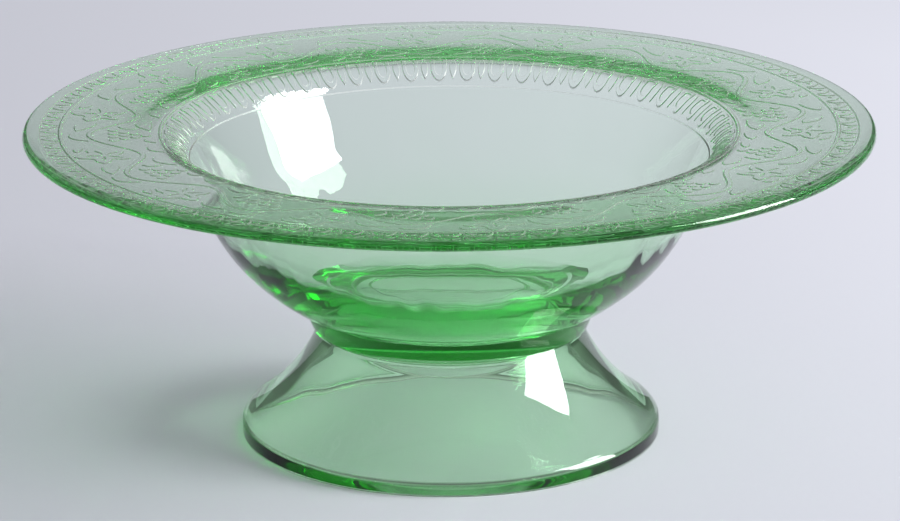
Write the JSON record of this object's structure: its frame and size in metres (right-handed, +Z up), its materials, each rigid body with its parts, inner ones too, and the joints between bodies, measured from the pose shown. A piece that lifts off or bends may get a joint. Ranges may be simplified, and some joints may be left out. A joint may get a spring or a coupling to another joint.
{
  "type": "grapefruit bowl",
  "caption": "Footed glass bowl with a round well, a wide nearly flat etched rim, a collar and a hollow flaring foot, for serving a halved grapefruit.",
  "frame": {"origin": "centre of the base ring, on the surface that the bowl stands on", "axes": "+Z up along the axis that the bowl is turned about"},
  "size_m": [0.178, 0.178, 0.0676],
  "materials": {
    "bowl_glass": "clear pale green pressed glass, fire polished, with an etched rim",
    "collar_glass": "clear green pressed glass, seen darker because it is thick",
    "foot_glass": "clear pale green pressed glass, fire polished"
  },
  "bodies": {
    "root": {"bowl": "bowl_glass", "collar": "collar_glass", "foot": "foot_glass"}
  },
  "joints": []
}
